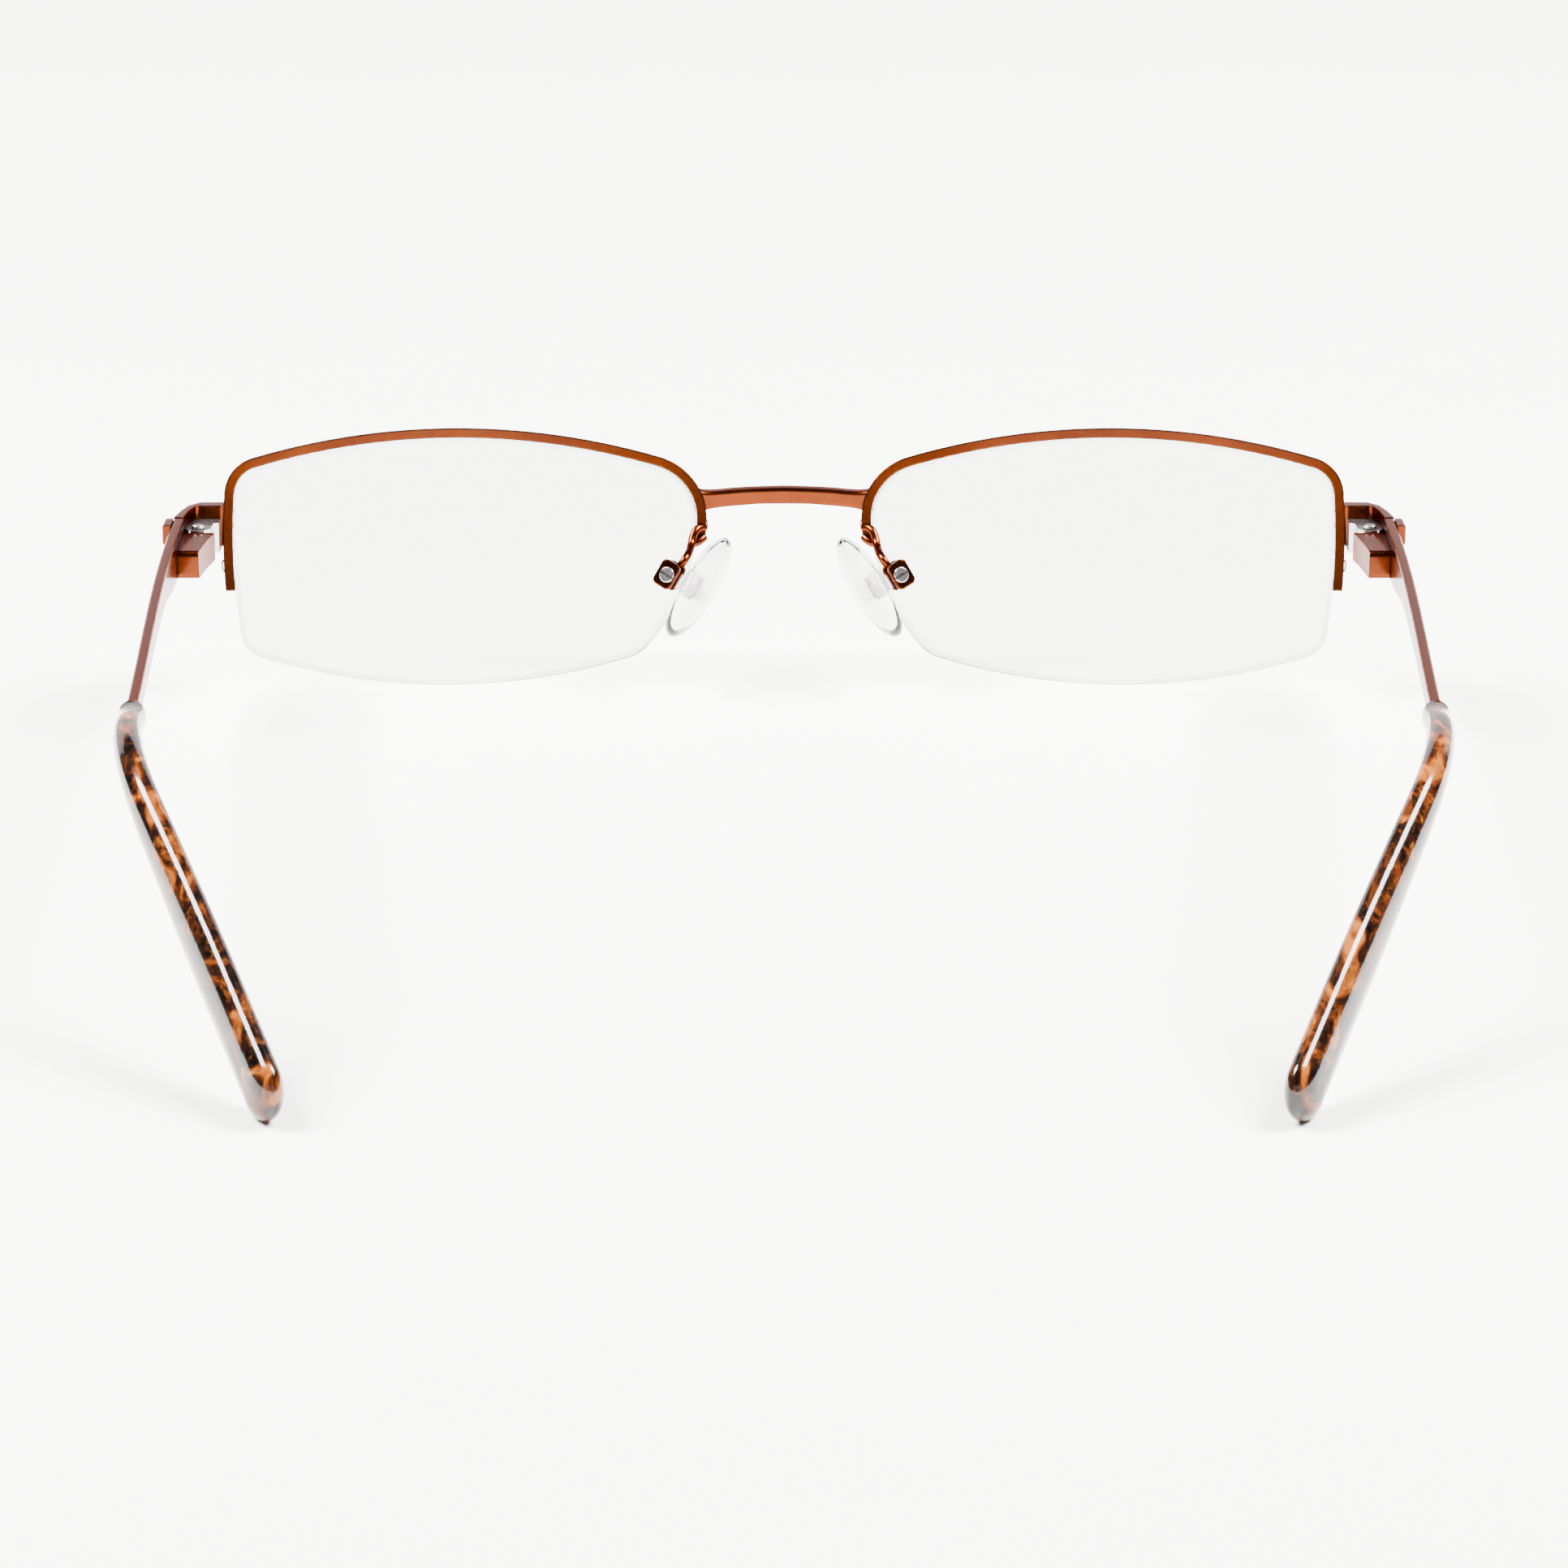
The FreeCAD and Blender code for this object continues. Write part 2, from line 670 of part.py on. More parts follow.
def temple_local():
    """Blade from the butt face to the sleeve, with the core wire that the tip slides on."""
    run = SLEEVE_START - BUTT_GAP
    stations = [BUTT_GAP + run * step / BLADE_STEPS for step in range(BLADE_STEPS + 1)]
    blade = Part.makeLoft([blade_section(distance) for distance in stations], True, False)
    return blade.fuse(core_local(CORE_RADIUS))


def oval_section(centre, forward, wide, tall):
    """Oval square to a direction, with its tall side in the upright plane."""
    forward = Vector(forward).normalize()
    side = forward.cross(Z).normalize()
    up = side.cross(forward)
    oval = Part.Ellipse(centre + up * (tall / 2), centre + side * (wide / 2), centre)
    return Part.Wire(oval.toShape())


def sleeve_size(distance):
    """Width and height of the tip sleeve at a distance along it."""
    part = min(1.0, distance / SLEEVE_GROWTH)
    ease = part * part * (3 - 2 * part)
    wide = SLEEVE_WIDE + (TIP_WIDE - SLEEVE_WIDE) * ease
    tall = SLEEVE_TALL + (TIP_TALL - SLEEVE_TALL) * ease
    return wide, tall


def tip_end_ball():
    """Rounded end that carries the last sleeve section round in a half ball."""
    end, forward = temple_path(path_length())
    side = forward.cross(Z).normalize()
    up = side.cross(forward)
    ball = Part.makeSphere(1.0)
    a = TIP_WIDE / 2
    b = TIP_TALL / 2
    return ball.transformGeometry(FreeCAD.Matrix(
        side.x * a, forward.x * b, up.x * b, end.x,
        side.y * a, forward.y * b, up.y * b, end.y,
        side.z * a, forward.z * b, up.z * b, end.z,
        0, 0, 0, 1))


def sleeve_local():
    """Tip sleeve: slim at the front, deeper towards the rounded end."""
    wires = []
    run = path_length() - SLEEVE_START
    for step in range(SLEEVE_STEPS + 1):
        distance = run * step / SLEEVE_STEPS
        point, forward = temple_path(SLEEVE_START + distance)
        wide, tall = sleeve_size(distance)
        wires.append(oval_section(point, forward, wide, tall))
    body = Part.makeLoft(wires, True, False).fuse(tip_end_ball())
    return body.cut(core_local(CORE_RADIUS + PRESS_SLACK))


def plaque_local():
    """Raised block on the outer side of the temple's front end."""
    front = ENDPIECE_REAR + BUTT_GAP
    rear = front + PLAQUE_LENGTH
    skin = BLADE_THICK / 2 + BRAZE_GAP
    inner = [(blade_x(rear) + skin, rear), (blade_x(front) + skin, front)]
    outer = [(blade_x(front) + skin + PLAQUE_THICK, front), (blade_x(rear) + skin + PLAQUE_THICK, rear)]
    block = plan_solid(inner + outer, BLADE_TOP - PLAQUE_TALL, BLADE_TOP)
    middle = blade_x(front) + skin + PLAQUE_THICK / 2
    edges = [e for e in block.Edges if e.BoundBox.XMin > middle]
    return soften(block, edges, PLAQUE_ROUND)


# --- the nose pad frame: X towards the nose, Y along the pad screw, Z up the pad ---

def seat_pad(shape):
    shape = shape.copy()
    up = Vector(PAD_LONG).normalize()
    out = (PAD_NORMAL - up * PAD_NORMAL.dot(up)).normalize()
    across = up.cross(out)
    shape.transformShape(FreeCAD.Matrix(
        out.x, across.x, up.x, PAD_BOX_AT.x,
        out.y, across.y, up.y, PAD_BOX_AT.y,
        out.z, across.z, up.z, PAD_BOX_AT.z,
        0, 0, 0, 1))
    return shape


def pad_point(x, y, z):
    return seat_pad(Part.Vertex(x, y, z)).Point


def pad_insert_local():
    """Stiff core of the pad: a plate inside the pad and a tab that hangs on the pad screw."""
    tab = box_between(
        Vector(-TAB_BACK, -TAB_THICK / 2, -TAB_HALF_LONG),
        Vector(INSERT_AT, TAB_THICK / 2, TAB_HALF_LONG),
    )
    middle = PAD_OFFSET_UP
    plate = box_between(
        Vector(INSERT_AT, -INSERT_HALF_WIDE, middle - INSERT_HALF_LONG),
        Vector(INSERT_AT + INSERT_THICK, INSERT_HALF_WIDE, middle + INSERT_HALF_LONG),
    )
    bore = Part.makeCylinder(PAD_SCREW_RADIUS + RUN_GAP, 4, Vector(0, -2, 0), Vector(0, 1, 0))
    return tab.fuse(plate).cut(bore).removeSplitter()


def nose_pad_local():
    """Clear pillow shaped pad with a flat back."""
    ball = Part.makeSphere(1.0)
    stretch = FreeCAD.Matrix()
    stretch.scale(PAD_HALF_THICK, PAD_HALF_WIDE, PAD_HALF_LONG)
    pillow = ball.transformGeometry(stretch)
    pillow.translate(Vector(PAD_OFFSET_OUT, 0, PAD_OFFSET_UP))
    behind = PAD_OFFSET_OUT - PAD_BACK
    keep = box_between(Vector(behind, -9, -9), Vector(behind + 9, 9, 11))
    return pillow.common(keep).cut(pad_insert_local())


def pad_box_local():
    """Small clip of two cheeks and a back wall; the pad's tab hangs between the cheeks."""
    half_y = PAD_BOX_GAP / 2 + PAD_BOX_WALL
    half_z = PAD_BOX_LONG / 2
    back = -PAD_BOX_BACK
    body = box_between(Vector(back, -half_y, -half_z), Vector(PAD_BOX_OUT, half_y, half_z))
    edges = [e for e in body.Edges if e.BoundBox.YLength > 1.0]
    body = soften(body, edges, PAD_BOX_ROUND)
    inside = back + PAD_BOX_WALL
    gap = box_between(Vector(inside, -PAD_BOX_GAP / 2, -9), Vector(9, PAD_BOX_GAP / 2, 9))
    return body.cut(gap).cut(pad_screw_shank())


def pad_screw_shank():
    length = PAD_BOX_GAP + 2 * PAD_BOX_WALL
    return Part.makeCylinder(PAD_SCREW_RADIUS, length, Vector(0, -length / 2, 0), Vector(0, 1, 0))


def pad_screw_local():
    """Slotted screw whose head faces the wearer."""
    face = -(PAD_BOX_GAP / 2 + PAD_BOX_WALL)
    top = face - PAD_HEAD_TALL
    head = Part.makeCylinder(PAD_HEAD_RADIUS, PAD_HEAD_TALL, Vector(0, top, 0), Vector(0, 1, 0))
    head = soften(head, [min(head.Edges, key=lambda e: e.BoundBox.YMax)], PAD_HEAD_EDGE)
    slot = box_between(Vector(-2, top - 1, -SCREW_SLOT / 2), Vector(2, top + PAD_SLOT_DEEP, SCREW_SLOT / 2))
    return pad_screw_shank().fuse(head).cut(slot)


def tube_along(points, radius):
    """Round wire along a smooth curve through a few points."""
    curve = Part.BSplineCurve()
    curve.interpolate(points)
    path = Part.Wire(curve.toShape())
    start = Part.Wire(Part.makeCircle(radius, points[0], curve.tangent(curve.FirstParameter)[0]))
    return path.makePipeShell([start], True, False)


def rim_nose_point(w):
    """Point near the back of the rim bar on the nose side, clear of the cord."""
    u = side_u("nose", w, PAD_ARM_SIDE)
    return seat_point(u, surface_t(u, w, LENS_THICK / 2 + PAD_ARM_BACK), w)


def pad_arm_world():
    """Bent wire from the nose end of the rim to the pad box; its root splits round an eye."""
    join = PAD_ARM_JOIN
    upper = rim_nose_point(RIM_NOSE_END_W + PAD_ARM_RISE)
    lower = rim_nose_point(RIM_NOSE_END_W + 0.1)
    loop = (upper + join) * 0.5 + Vector(0.35, 0.1, 0.45)
    cheek_y = PAD_BOX_GAP / 2 + PAD_BOX_WALL
    box_end = pad_point(0, cheek_y, PAD_BOX_LONG / 2 - PAD_BOX_ROUND)
    before_box = pad_point(0.1, cheek_y, PAD_BOX_LONG / 2 + 0.6)
    long_strand = tube_along([upper, loop, join, before_box, box_end], PAD_ARM_RADIUS)
    short_strand = tube_along([lower, (lower + join) * 0.5 + Vector(0, 0, -0.2), join], PAD_ARM_RADIUS)
    return long_strand.fuse(short_strand)


def bridge_world():
    """Bar between the rims, deeper where it meets them and carried slightly forward."""
    wires = []
    for part in (-1.0, -0.92, -0.8, -0.4, 0.0, 0.4, 0.8, 0.92, 1.0):
        x = part * BRIDGE_END_X
        tall = BRIDGE_TALL + (BRIDGE_END_TALL - BRIDGE_TALL) * part ** 10
        y = BRIDGE_Y - BRIDGE_FORWARD * (1 - part * part)
        z = BRIDGE_Z - BRIDGE_DROP * part * part
        wires.append(rounded_section(Vector(x, y, z), Vector(1, 0, 0), BRIDGE_DEEP, tall, BRIDGE_ROUND))
    return Part.makeLoft(wires, True, False)


def mirrored(shape):
    return shape.mirror(Vector(0, 0, 0), Vector(1, 0, 0))


def left_half():
    """Every piece of the left half by name, in the standing pose."""
    rim = seat_front(rim_local())
    lens = seat_front(lens_local())
    endpiece = largest(seat_temple(endpiece_local()).cut(rim))
    knuckles = seat_hinge(front_hinge_local()).cut(endpiece)
    temple = seat_temple(temple_local())
    pad_box = seat_pad(pad_box_local())
    arm = pad_arm_world().cut(rim).cut(pad_box)
    return {
        "rim": rim,
        "rim_liner": seat_front(liner_local()),
        "lens": lens,
        "nylon_cord": seat_front(cord_local()),
        "endpiece": endpiece,
        "front_hinge": knuckles,
        "pad_arm": largest(arm),
        "pad_box": pad_box,
        "pad_screw": seat_pad(pad_screw_local()),
        "pad_insert": seat_pad(pad_insert_local()),
        "nose_pad": seat_pad(nose_pad_local()),
        "hinge_screw": seat_hinge(hinge_screw_local()),
        "slider": seat_hinge(slider_local()),
        "hinge_spring": seat_hinge(spring_local()),
        "spring_retainer": seat_hinge(retainer_local()),
        "spring_housing": seat_hinge(housing_local()),
        "temple": temple,
        "temple_plaque": seat_temple(plaque_local()),
        "temple_tip": seat_temple(sleeve_local()),
    }


def main():
    os.makedirs("parts", exist_ok=True)
    left = left_half()
    pieces = {}
    for name, shape in left.items():
        pieces[name + "_left"] = shape
        pieces[name + "_right"] = mirrored(shape)
    bridge = bridge_world()
    for side in ("_left", "_right"):
        bridge = bridge.cut(pieces["rim" + side])
    pieces["bridge"] = largest(bridge)
    for name, shape in pieces.items():
        shape.translate(Vector(0, MIDDLE_SHIFT, 0))
        shape.exportStep("parts/" + name + ".step")


main()
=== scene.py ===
import math

import bpy
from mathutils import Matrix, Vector


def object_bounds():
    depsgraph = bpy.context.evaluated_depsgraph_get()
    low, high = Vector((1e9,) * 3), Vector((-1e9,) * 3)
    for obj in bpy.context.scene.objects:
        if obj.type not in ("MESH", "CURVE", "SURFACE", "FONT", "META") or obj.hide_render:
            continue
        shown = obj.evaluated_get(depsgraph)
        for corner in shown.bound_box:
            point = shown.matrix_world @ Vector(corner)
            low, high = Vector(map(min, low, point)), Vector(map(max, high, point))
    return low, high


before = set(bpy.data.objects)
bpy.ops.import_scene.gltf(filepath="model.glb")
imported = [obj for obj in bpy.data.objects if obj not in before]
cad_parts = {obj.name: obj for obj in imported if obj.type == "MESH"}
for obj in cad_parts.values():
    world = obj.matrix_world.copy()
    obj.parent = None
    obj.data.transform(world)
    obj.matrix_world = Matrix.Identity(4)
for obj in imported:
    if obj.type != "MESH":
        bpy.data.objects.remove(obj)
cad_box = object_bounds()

# Half rim eyeglasses. Metres, +Z up, the front faces -Y, the wearer's left is +X.

LENS_WRAP = math.radians(6.0)
LENS_LEAN = math.radians(12.0)
SIDES = (("left", 1.0), ("right", -1.0))

METAL_NODES = (
    "rim", "endpiece", "pad_arm", "pad_box",
    "spring_housing", "temple", "temple_plaque",
)
STEEL_NODES = ("front_hinge", "pad_screw", "hinge_screw", "slider", "spring_retainer")
EDGE_BEVELS = {
    "bridge": 0.00022,
    "pad_insert": 0.00008,
    "rim": 0.00024,
    "endpiece": 0.00022,
    "front_hinge": 0.00012,
    "pad_box": 0.00014,
    "spring_housing": 0.00022,
    "temple_plaque": 0.00016,
    "temple": 0.00014,
}
BEVEL_SEGMENTS = 3
BEVEL_ANGLE = math.radians(40)

# Metres.
FLAKE_SIZE = 1.0 / 14000.0
# Radius of the painted shade on the frame's edges.
EDGE_SHADE_RADIUS = 0.00020
LACQUER_ROUND = 0.00030
# Reach of the painted shade in slots and corners.
SLOT_REACH = 0.0004
FLOOR_REACH = 6.0

# Colours are linear.
LACQUER_DEEP = [(0.3, (0.035, 0.0052, 0.0008)), (0.7, (0.060, 0.0100, 0.0014))]
LACQUER_BRIGHT = [(0.3, (0.120, 0.0200, 0.0018)), (0.7, (0.190, 0.0360, 0.0034))]
# Painted shade: near black brown laid on the frame's edges.
LACQUER_EDGE_SHADE = (0.010, 0.0020, 0.0008)
LACQUER_GRAZING = (0.52, 0.38, 0.36, 1.0)
# Painted shade: dark colour laid in slots and recesses.
SLOT_PAINTED_SHADE = (0.02, 0.016, 0.014)
TORTOISE_BODY = [
    (0.40, (0.0022, 0.0011, 0.0010)),
    (0.50, (0.010, 0.0034, 0.0018)),
    (0.57, (0.060, 0.0130, 0.0022)),
    (0.66, (0.230, 0.0640, 0.0080)),
]
TORTOISE_SPECKS = [(0.50, (0.010, 0.004, 0.003)), (0.68, (0.110, 0.0280, 0.0040))]
LENS_FACE = (0.985, 0.99, 0.985)
# Painted shade: grey tone of the lens edge.
LENS_EDGE_SHADE = (0.42, 0.45, 0.43)
LENS_SHADOW = (0.955, 0.965, 0.955)
FLOOR_WHITE = [(0.3, (0.93, 0.925, 0.91)), (0.7, (0.945, 0.94, 0.925))]
WARM_WHITE = (1.0, 0.985, 0.965)

# Name, place, target, width, height, watts, colour.
LAMPS = (
    ("back_wall", (0.0, -1.5, 0.45), (0.0, 0.0, 0.15), 3.2, 0.9, 20.0, (1.0, 0.92, 0.91)),
    ("front_wall", (0.0, 1.6, 0.25), (0.0, 0.0, 0.05), 3.2, 0.5, 6.0, (1.0, 0.98, 0.96)),
    ("over_left", (0.75, -0.05, 1.1), (0.0, -0.05, 0.0), 0.6, 0.6, 120.0, WARM_WHITE),
    ("over_right", (-0.75, -0.05, 1.1), (0.0, -0.05, 0.0), 0.6, 0.6, 120.0, WARM_WHITE),
)
WORLD_COLOUR = (1.0, 0.98, 0.96, 1.0)
WORLD_STRENGTH = 0.04

CAMERA_PLACE = (0.0, 0.49308, 0.159)
CAMERA_DOWN = math.radians(16.9504)
CAMERA_LENS = 120.4
CAMERA_SENSOR = 36.0


# --- node helpers ---

def start_material(name):
    """A node material with one Principled shader; gives the material, its tree and the shader."""
    material = bpy.data.materials.new(name)
    material.use_nodes = True
    tree = material.node_tree
    shader = tree.nodes["Principled BSDF"]
    return material, tree, shader


def place(tree):
    """Coordinates in metres on the object."""
    return tree.nodes.new("ShaderNodeTexCoord").outputs["Object"]


def noise(tree, vector, scale, detail=3.0, rough=0.5, warp=0.0):
    node = tree.nodes.new("ShaderNodeTexNoise")
    node.inputs["Scale"].default_value = scale
    node.inputs["Detail"].default_value = detail
    node.inputs["Roughness"].default_value = rough
    node.inputs["Distortion"].default_value = warp
    tree.links.new(vector, node.inputs["Vector"])
    return node.outputs["Fac"]


def stretched(tree, vector, scale):
    node = tree.nodes.new("ShaderNodeMapping")
    node.inputs["Scale"].default_value = scale
    tree.links.new(vector, node.inputs["Vector"])
    return node.outputs["Vector"]


def ramp(tree, factor, stops):
    node = tree.nodes.new("ShaderNodeValToRGB")
    points = node.color_ramp.elements
    while len(points) < len(stops):
        points.new(0.5)
    for point, (position, colour) in zip(points, stops):
        point.position = position
        point.color = (*colour, 1.0)
    tree.links.new(factor, node.inputs["Fac"])
    return node.outputs["Color"]


def spread(tree, factor, low, high, from_low=0.0, from_high=1.0):
    node = tree.nodes.new("ShaderNodeMapRange")
    node.inputs["From Min"].default_value = from_low
    node.inputs["From Max"].default_value = from_high
    node.inputs["To Min"].default_value = low
    node.inputs["To Max"].default_value = high
    tree.links.new(factor, node.inputs["Value"])
    return node.outputs["Result"]


def blend_colour(tree, factor, first, second):
    node = tree.nodes.new("ShaderNodeMix")
    node.data_type = "RGBA"
    tree.links.new(factor, node.inputs["Factor"])
    for socket, value in ((node.inputs[6], first), (node.inputs[7], second)):
        if isinstance(value, bpy.types.NodeSocket):
            tree.links.new(value, socket)
        else:
            socket.default_value = (*value, 1.0)
    return node.outputs[2]


def bump(tree, shader, height, distance, strength=1.0, round_edges=0.0):
    node = tree.nodes.new("ShaderNodeBump")
    node.inputs["Strength"].default_value = strength
    node.inputs["Distance"].default_value = distance
    tree.links.new(height, node.inputs["Height"])
    if round_edges:
        soft = tree.nodes.new("ShaderNodeBevel")
        soft.samples = 6
        soft.inputs["Radius"].default_value = round_edges
        tree.links.new(soft.outputs["Normal"], node.inputs["Normal"])
    tree.links.new(node.outputs["Normal"], shader.inputs["Normal"])


def edge_mask(tree, radius):
    """1 on sharp edges and 0 on open faces."""
    soft = tree.nodes.new("ShaderNodeBevel")
    soft.samples = 4
    soft.inputs["Radius"].default_value = radius
    hard = tree.nodes.new("ShaderNodeNewGeometry")
    dot = tree.nodes.new("ShaderNodeVectorMath")
    dot.operation = "DOT_PRODUCT"
    tree.links.new(soft.outputs["Normal"], dot.inputs[0])
    tree.links.new(hard.outputs["Normal"], dot.inputs[1])
    return spread(tree, dot.outputs["Value"], 1.0, 0.0, 0.8, 0.985)


def recess_shade_mask(tree, reach):
    """1 deep in slots and corners and 0 on open faces; it places painted shade."""
    node = tree.nodes.new("ShaderNodeAmbientOcclusion")
    node.samples = 6
    node.inputs["Distance"].default_value = reach
    return spread(tree, node.outputs["AO"], 1.0, 0.0, 0.35, 0.85)


def lets_light_through(material, tree, shader, tint):
    """Clear plastic that passes lamp light, so that its shadow stays faint."""
    path = tree.nodes.new("ShaderNodeLightPath")
    clear = tree.nodes.new("ShaderNodeBsdfTransparent")
    clear.inputs["Color"].default_value = (*tint, 1.0)
    mix = tree.nodes.new("ShaderNodeMixShader")
    tree.links.new(path.outputs["Is Shadow Ray"], mix.inputs["Fac"])
    tree.links.new(shader.outputs["BSDF"], mix.inputs[1])
    tree.links.new(clear.outputs["BSDF"], mix.inputs[2])
    tree.links.new(mix.outputs["Shader"], tree.nodes["Material Output"].inputs["Surface"])
    return material


# --- materials ---

def brown_lacquer():
    """Brown see-through lacquer over metal: fine flakes, slight waviness, and painted shade
    darkening its edges.
    """
    material, tree, shader = start_material("brown_lacquer")
    at = place(tree)
    flakes = tree.nodes.new("ShaderNodeTexVoronoi")
    flakes.inputs["Scale"].default_value = 1.0 / FLAKE_SIZE
    tree.links.new(at, flakes.inputs["Vector"])
    flake = spread(tree, flakes.outputs["Distance"], 0.0, 1.0, 0.1, 0.8)
    clouds = noise(tree, at, 160.0, 4.0)
    deep = ramp(tree, clouds, LACQUER_DEEP)
    bright = ramp(tree, clouds, LACQUER_BRIGHT)
    body = blend_colour(tree, spread(tree, flake, 0.75, 0.15), deep, bright)
    # Painted shade: the edges are blended towards near black brown.
    edge_shade = spread(tree, edge_mask(tree, EDGE_SHADE_RADIUS), 0.0, 0.85)
    edge_shaded = blend_colour(tree, edge_shade, body, LACQUER_EDGE_SHADE)
    tree.links.new(edge_shaded, shader.inputs["Base Color"])
    shader.inputs["Metallic"].default_value = 1.0
    shader.inputs["Specular Tint"].default_value = LACQUER_GRAZING
    tree.links.new(spread(tree, noise(tree, at, 900.0, 5.0), 0.16, 0.28), shader.inputs["Roughness"])
    shader.inputs["Coat Weight"].default_value = 0.12
    shader.inputs["Coat Roughness"].default_value = 0.04
    bump(tree, shader, noise(tree, at, 700.0, 2.0), 0.000005, 1.0, LACQUER_ROUND)
    return material


def steel(name, low, high, base):
    """Machined metal with fine turning marks and painted shade darkening its slots."""
    material, tree, shader = start_material(name)
    at = place(tree)
    marks = noise(tree, stretched(tree, at, (1.0, 1.0, 9.0)), 4200.0, 4.0)
    tone = ramp(tree, noise(tree, at, 600.0), [(0.3, tuple(0.8 * c for c in base)), (0.7, base)])
    # Painted shade: slots and corners darkened by ambient occlusion.
    slot_shaded = blend_colour(tree, recess_shade_mask(tree, SLOT_REACH), tone, SLOT_PAINTED_SHADE)
    tree.links.new(slot_shaded, shader.inputs["Base Color"])
    shader.inputs["Metallic"].default_value = 1.0
    tree.links.new(spread(tree, marks, low, high), shader.inputs["Roughness"])
    bump(tree, shader, marks, 0.000004)
    return material


def tortoise():
    """Polished acetate: near black with amber and orange streaks deep in a clear surface."""
    material, tree, shader = start_material("tip_tortoise")
    at = place(tree)
    streaks = noise(tree, stretched(tree, at, (1.0, 0.5, 0.8)), 330.0, 4.0, 0.55, 1.6)
    specks = noise(tree, at, 900.0, 3.0, 0.5, 0.8)
    body = ramp(tree, streaks, TORTOISE_BODY)
    fine = ramp(tree, specks, TORTOISE_SPECKS)
    colour = blend_colour(tree, spread(tree, specks, 0.0, 0.5, 0.5, 0.7), body, fine)
    tree.links.new(colour, shader.inputs["Base Color"])
    tree.links.new(spread(tree, specks, 0.10, 0.17), shader.inputs["Roughness"])
    shader.inputs["IOR"].default_value = 1.48
    shader.inputs["Specular IOR Level"].default_value = 0.3
    shader.inputs["Coat Weight"].default_value = 0.25
    shader.inputs["Coat Roughness"].default_value = 0.03
    bump(tree, shader, noise(tree, at, 260.0, 2.0), 0.000008)
    return material


def lens_clear(name, sign):
    """Polished faces with the faint swirl of a moulded demo lens, and a rougher ground edge whose
    grey tone is painted shade.
    """
    material, tree, shader = start_material(name)
    at = place(tree)
    axis = Vector((
        -sign * math.sin(LENS_WRAP),
        math.cos(LENS_WRAP) * math.cos(LENS_LEAN),
        math.cos(LENS_WRAP) * math.sin(LENS_LEAN),
    ))
    facing = tree.nodes.new("ShaderNodeVectorMath")
    facing.operation = "DOT_PRODUCT"
    facing.inputs[1].default_value = axis
    tree.links.new(tree.nodes.new("ShaderNodeTexCoord").outputs["Normal"], facing.inputs[0])
    size = tree.nodes.new("ShaderNodeMath")
    size.operation = "ABSOLUTE"
    tree.links.new(facing.outputs["Value"], size.inputs[0])
    edge = spread(tree, size.outputs["Value"], 1.0, 0.0, 0.55, 0.75)
    tree.links.new(spread(tree, edge, 0.0, 0.16), shader.inputs["Roughness"])
    # The edge is rougher as a ground edge, and its grey tone is painted shade.
    tone = blend_colour(tree, edge, LENS_FACE, LENS_EDGE_SHADE)
    tree.links.new(tone, shader.inputs["Base Color"])
    shader.inputs["Transmission Weight"].default_value = 1.0
    shader.inputs["IOR"].default_value = 1.50
    bump(tree, shader, noise(tree, at, 60.0, 1.0), 0.000001, 0.3)
    return lets_light_through(material, tree, shader, LENS_SHADOW)


def clear_plastic(name, tint, low, high, ior, wave):
    """Moulded clear plastic, slightly cloudy, with a faint wave on its surface."""
    material, tree, shader = start_material(name)
    at = place(tree)
    clouds = noise(tree, at, 420.0, 3.0)
    tone = ramp(tree, clouds, [(0.3, tuple(0.97 * c for c in tint)), (0.7, tint)])
    tree.links.new(tone, shader.inputs["Base Color"])
    tree.links.new(spread(tree, clouds, low, high), shader.inputs["Roughness"])
    shader.inputs["Transmission Weight"].default_value = 1.0
    shader.inputs["IOR"].default_value = ior
    bump(tree, shader, noise(tree, at, 500.0, 2.0), wave)
    return lets_light_through(material, tree, shader, tuple(0.94 * c for c in tint))


def pale_floor():
    material, tree, shader = start_material("pale_floor")
    at = place(tree)
    tree.links.new(ramp(tree, noise(tree, at, 30.0), FLOOR_WHITE), shader.inputs["Base Color"])
    shader.inputs["Roughness"].default_value = 0.75
    shader.inputs["Specular IOR Level"].default_value = 0.25
    return material


# --- dressing the frame ---

def dress(node, material, bevel=None):
    """Give a frame node its material, and softly rounded edges when a bevel width is given."""
    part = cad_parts[node]
    part.data.materials.clear()
    part.data.materials.append(material)
    if bevel:
        rounder = part.modifiers.new("edge_round", "BEVEL")
        rounder.width = bevel
        rounder.segments = BEVEL_SEGMENTS
        rounder.limit_method = "ANGLE"
        rounder.angle_limit = BEVEL_ANGLE
        rounder.harden_normals = True
        rounder.use_clamp_overlap = True


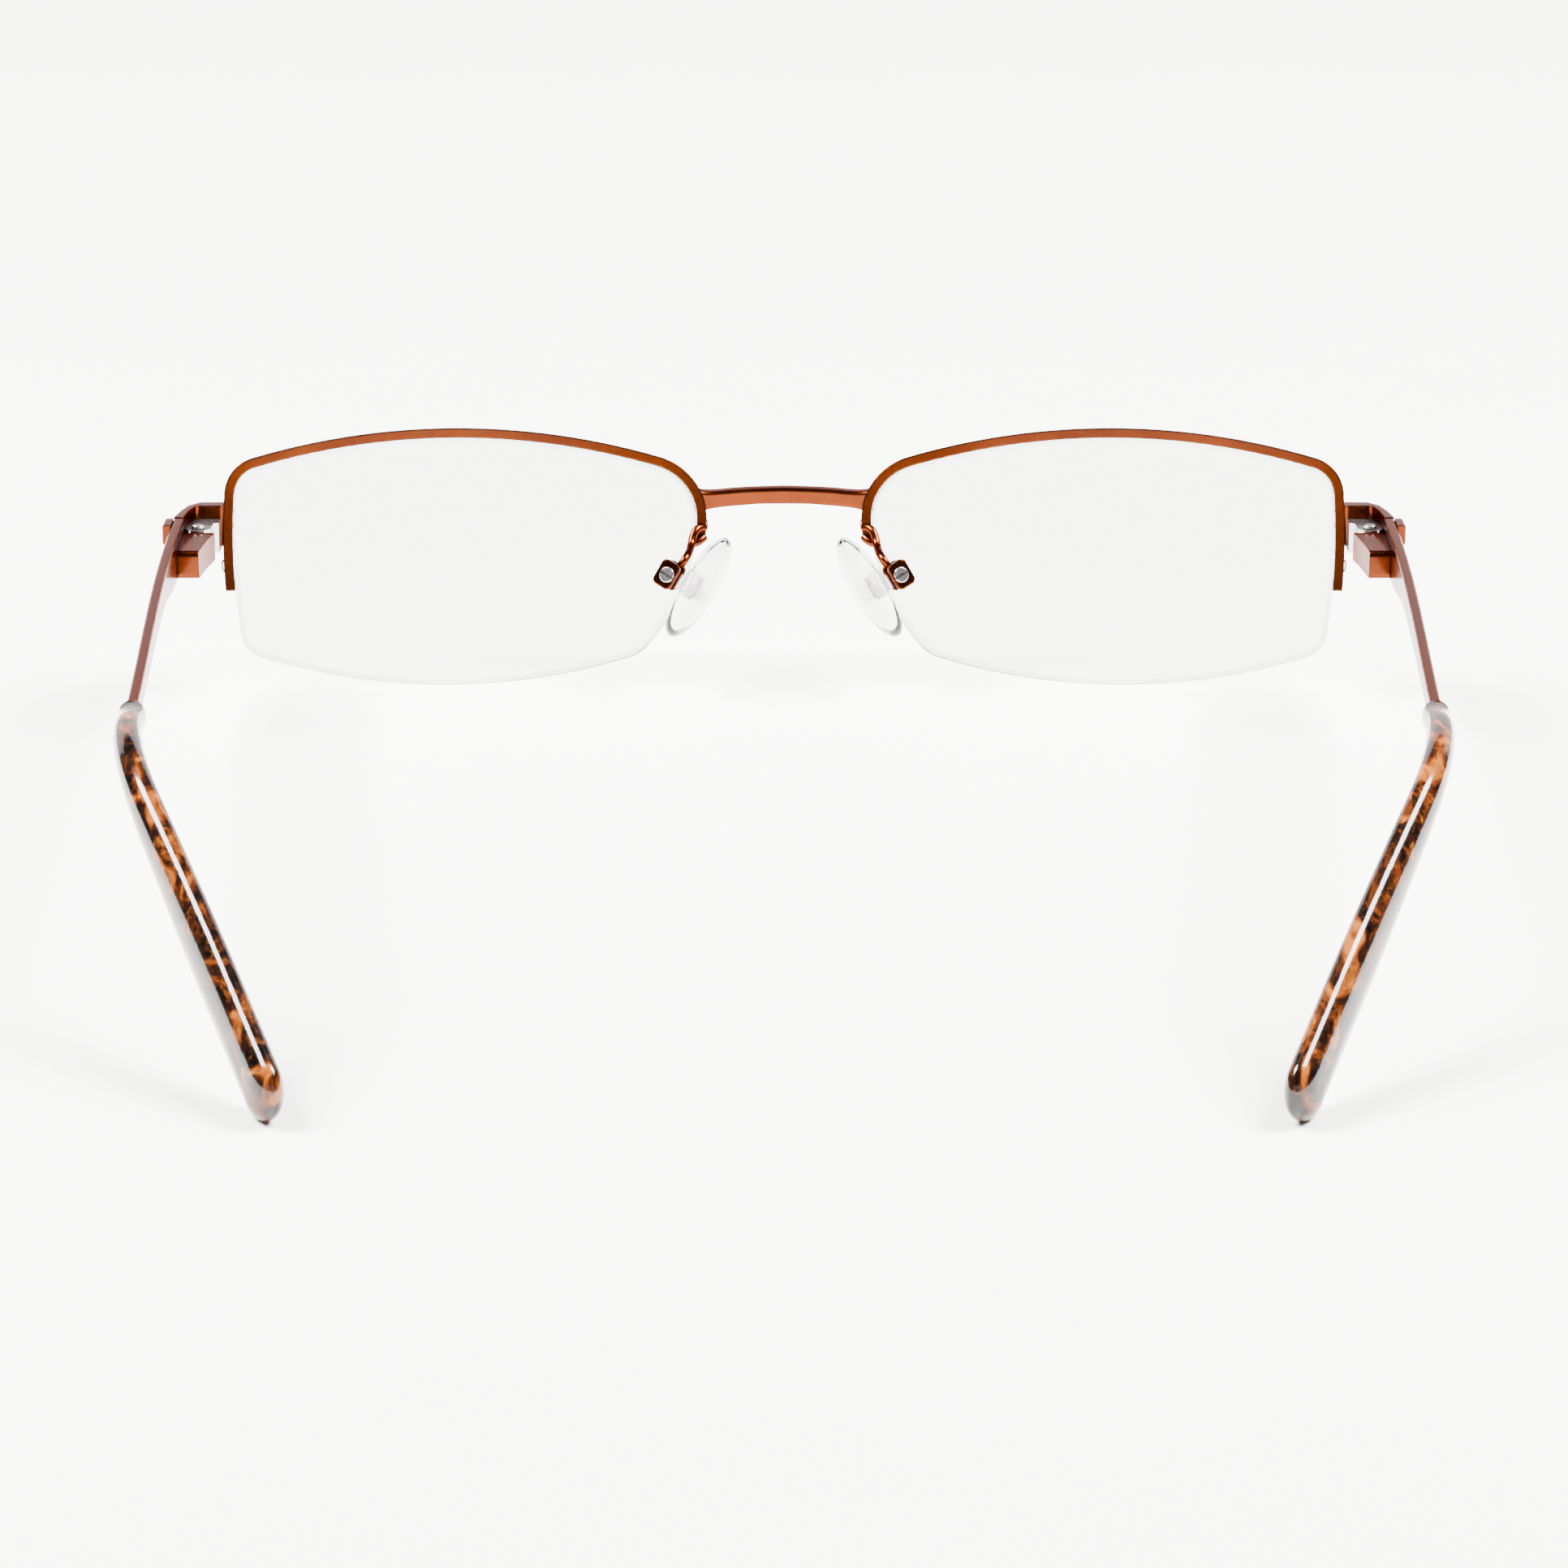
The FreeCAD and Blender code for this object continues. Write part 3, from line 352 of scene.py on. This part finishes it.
def dress_all():
    lacquer = brown_lacquer()
    bright = steel("steel_bright", 0.16, 0.34, (0.58, 0.57, 0.57))
    wire = steel("spring_steel", 0.25, 0.45, (0.55, 0.55, 0.56))
    tip = tortoise()
    nylon = clear_plastic("nylon_clear", (0.93, 0.94, 0.94), 0.05, 0.14, 1.53, 0.000002)
    core = clear_plastic("pad_core", (0.80, 0.81, 0.80), 0.06, 0.16, 1.62, 0.000004)
    pad = clear_plastic("pad_clear", (0.985, 0.985, 0.98), 0.01, 0.05, 1.42, 0.000004)
    dress("bridge", lacquer, EDGE_BEVELS["bridge"])
    for side, sign in SIDES:
        for name in METAL_NODES:
            dress(name + "_" + side, lacquer, EDGE_BEVELS.get(name))
        for name in STEEL_NODES:
            dress(name + "_" + side, bright, EDGE_BEVELS.get(name))
        dress("hinge_spring_" + side, wire)
        dress("temple_tip_" + side, tip)
        dress("rim_liner_" + side, nylon)
        dress("nylon_cord_" + side, nylon)
        dress("nose_pad_" + side, pad)
        dress("pad_insert_" + side, core, EDGE_BEVELS["pad_insert"])
        dress("lens_" + side, lens_clear("lens_clear_" + side, sign))


# --- stage ---

def add_floor():
    mesh = bpy.data.meshes.new("floor")
    z = cad_box[0].z
    turns = ((-1, -1), (1, -1), (1, 1), (-1, 1))
    corners = [(FLOOR_REACH * x, FLOOR_REACH * y, z) for x, y in turns]
    mesh.from_pydata(corners, [], [(0, 1, 2, 3)])
    floor = bpy.data.objects.new("floor", mesh)
    bpy.context.scene.collection.objects.link(floor)
    mesh.materials.append(pale_floor())


def add_lamp(name, at, target, wide, tall, power, colour):
    light = bpy.data.lights.new(name, "AREA")
    light.shape = "RECTANGLE"
    light.size = wide
    light.size_y = tall
    light.energy = power
    light.color = colour
    lamp = bpy.data.objects.new(name, light)
    lamp.location = at
    aim = Vector(target) - Vector(at)
    lamp.rotation_euler = aim.to_track_quat("-Z", "Y").to_euler()
    bpy.context.scene.collection.objects.link(lamp)


def add_world():
    world = bpy.data.worlds.new("studio")
    world.use_nodes = True
    sky = world.node_tree.nodes["Background"]
    sky.inputs["Color"].default_value = WORLD_COLOUR
    sky.inputs["Strength"].default_value = WORLD_STRENGTH
    bpy.context.scene.world = world


def add_camera():
    data = bpy.data.cameras.new("camera")
    data.sensor_width = CAMERA_SENSOR
    data.lens = CAMERA_LENS
    data.clip_start = 0.01
    data.clip_end = 50.0
    camera = bpy.data.objects.new("camera", data)
    camera.location = CAMERA_PLACE
    camera.rotation_euler = (math.radians(90.0) - CAMERA_DOWN, 0.0, math.pi)
    bpy.context.scene.collection.objects.link(camera)
    bpy.context.scene.camera = camera


dress_all()
add_floor()
add_world()
for lamp in LAMPS:
    add_lamp(*lamp)
add_camera()
